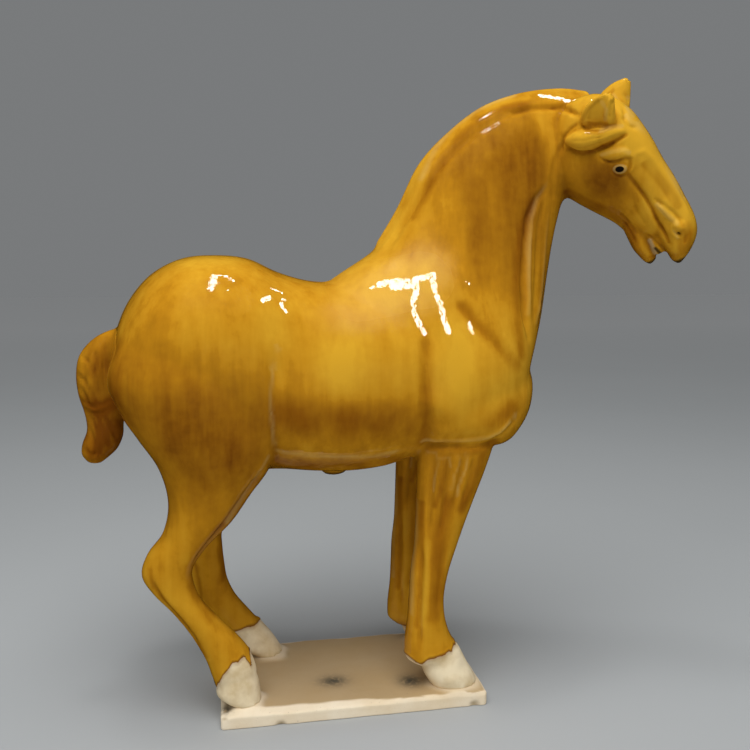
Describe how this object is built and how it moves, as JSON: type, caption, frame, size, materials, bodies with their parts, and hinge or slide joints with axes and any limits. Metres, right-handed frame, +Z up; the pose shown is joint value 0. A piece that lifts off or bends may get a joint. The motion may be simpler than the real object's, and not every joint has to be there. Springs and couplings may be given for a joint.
{
  "type": "glazed pottery tomb horse figure",
  "caption": "Standing glazed pottery horse in Tang tomb style, head turned, hogged mane and tied tail, on a thin bare clay plate.",
  "frame": {"origin": "centre of the base plate's underside", "axes": "+Z up, +X the way the body faces, the head turned towards -Y"},
  "size_m": [0.3949, 0.128, 0.405],
  "materials": {
    "amber_glaze": "honey amber lead glaze, glossy, running darker low down, hooves bare",
    "bare_clay": "unglazed buff clay, matt"
  },
  "bodies": {
    "root": {"horse": "amber_glaze", "base_plate": "bare_clay"}
  },
  "joints": []
}
